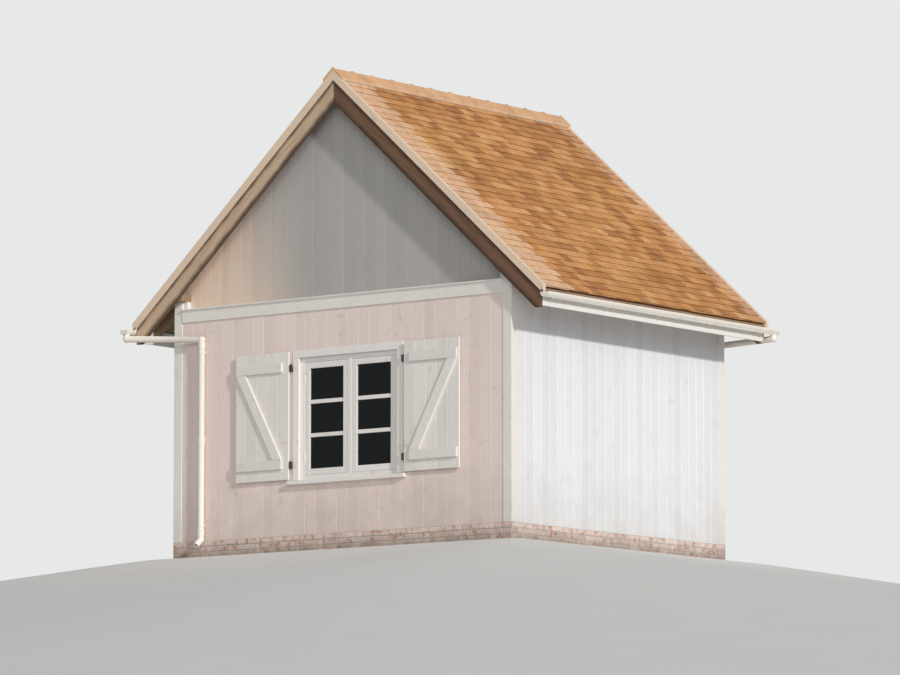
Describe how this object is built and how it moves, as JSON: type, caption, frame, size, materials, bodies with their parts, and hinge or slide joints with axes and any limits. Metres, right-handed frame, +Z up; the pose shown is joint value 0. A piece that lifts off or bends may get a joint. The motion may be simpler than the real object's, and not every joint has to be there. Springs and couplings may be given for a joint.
{
  "type": "small timber boathouse with a clay tile roof",
  "caption": "White boarded riverside boathouse with a steep clay tile roof, a shuttered casement window, gutters and swan-neck downpipes.",
  "frame": {"origin": "on the ground under the middle of the hut", "axes": "+Z up, the window gable looks along -Y, the ridge runs along Y"},
  "size_m": [5.6886, 4.34, 5.1091],
  "materials": {
    "wall_paint": "weathered white paint on vertical boards",
    "gable_paint": "flat grey-white paint",
    "trim_paint": "cream white gloss paint",
    "verge_wood": "weathered brown stain",
    "frame_timber": "sawn softwood",
    "clay_tile": "weathered plain clay",
    "brick_paint": "whitewashed brick",
    "concrete": "trowelled",
    "floor_board": "worn boards",
    "gutter_paint": "white paint",
    "glass": "clear",
    "ironmongery": "black paint"
  },
  "bodies": {
    "hut": {"plinth": "brick_paint", "floor_slab": "concrete", "floor_deck": "floor_board", "front_wall": "wall_paint", "rear_wall": "wall_paint", "left_wall": "wall_paint", "right_wall": "wall_paint", "front_gable": "gable_paint", "rear_gable": "gable_paint", "gable_bands": "trim_paint", "corner_boards": "trim_paint", "wall_plates": "frame_timber", "rafters": "frame_timber", "collar_ties": "frame_timber", "ridge_board": "frame_timber", "eaves_blocks": "trim_paint", "left_roof_boards": "frame_timber", "right_roof_boards": "frame_timber", "left_roof_tiles": "clay_tile", "right_roof_tiles": "clay_tile", "ridge_tiles": "clay_tile", "front_bargeboards": "verge_wood", "rear_bargeboards": "verge_wood", "verge_trims": "trim_paint", "left_fascia": "trim_paint", "right_fascia": "trim_paint", "left_gutter": "gutter_paint", "right_gutter": "gutter_paint", "gutter_brackets": "gutter_paint", "front_downpipe": "gutter_paint", "rear_downpipe": "gutter_paint", "pipe_clips": "gutter_paint", "window_casing": "trim_paint", "window_sill": "trim_paint", "window_frame": "trim_paint", "left_casement": "trim_paint", "right_casement": "trim_paint", "window_glass": "glass", "shutter_pintles": "ironmongery", "door_frame": "trim_paint", "rear_door": "trim_paint", "door_ironmongery": "ironmongery"},
    "left_leaf": {"left_shutter": "trim_paint", "left_shutter_bands": "ironmongery"},
    "right_leaf": {"right_shutter": "trim_paint", "right_shutter_bands": "ironmongery"}
  },
  "joints": [
    {"name": "left_shutter_swing", "type": "hinge", "parent": "hut", "child": "left_leaf", "pos_m": [-0.632, -1.943, 1.45], "axis": [0, 0, 1], "range_deg": [0, 180]},
    {"name": "right_shutter_swing", "type": "hinge", "parent": "hut", "child": "right_leaf", "pos_m": [0.872, -1.943, 1.45], "axis": [0, 0, -1], "range_deg": [0, 180]}
  ]
}
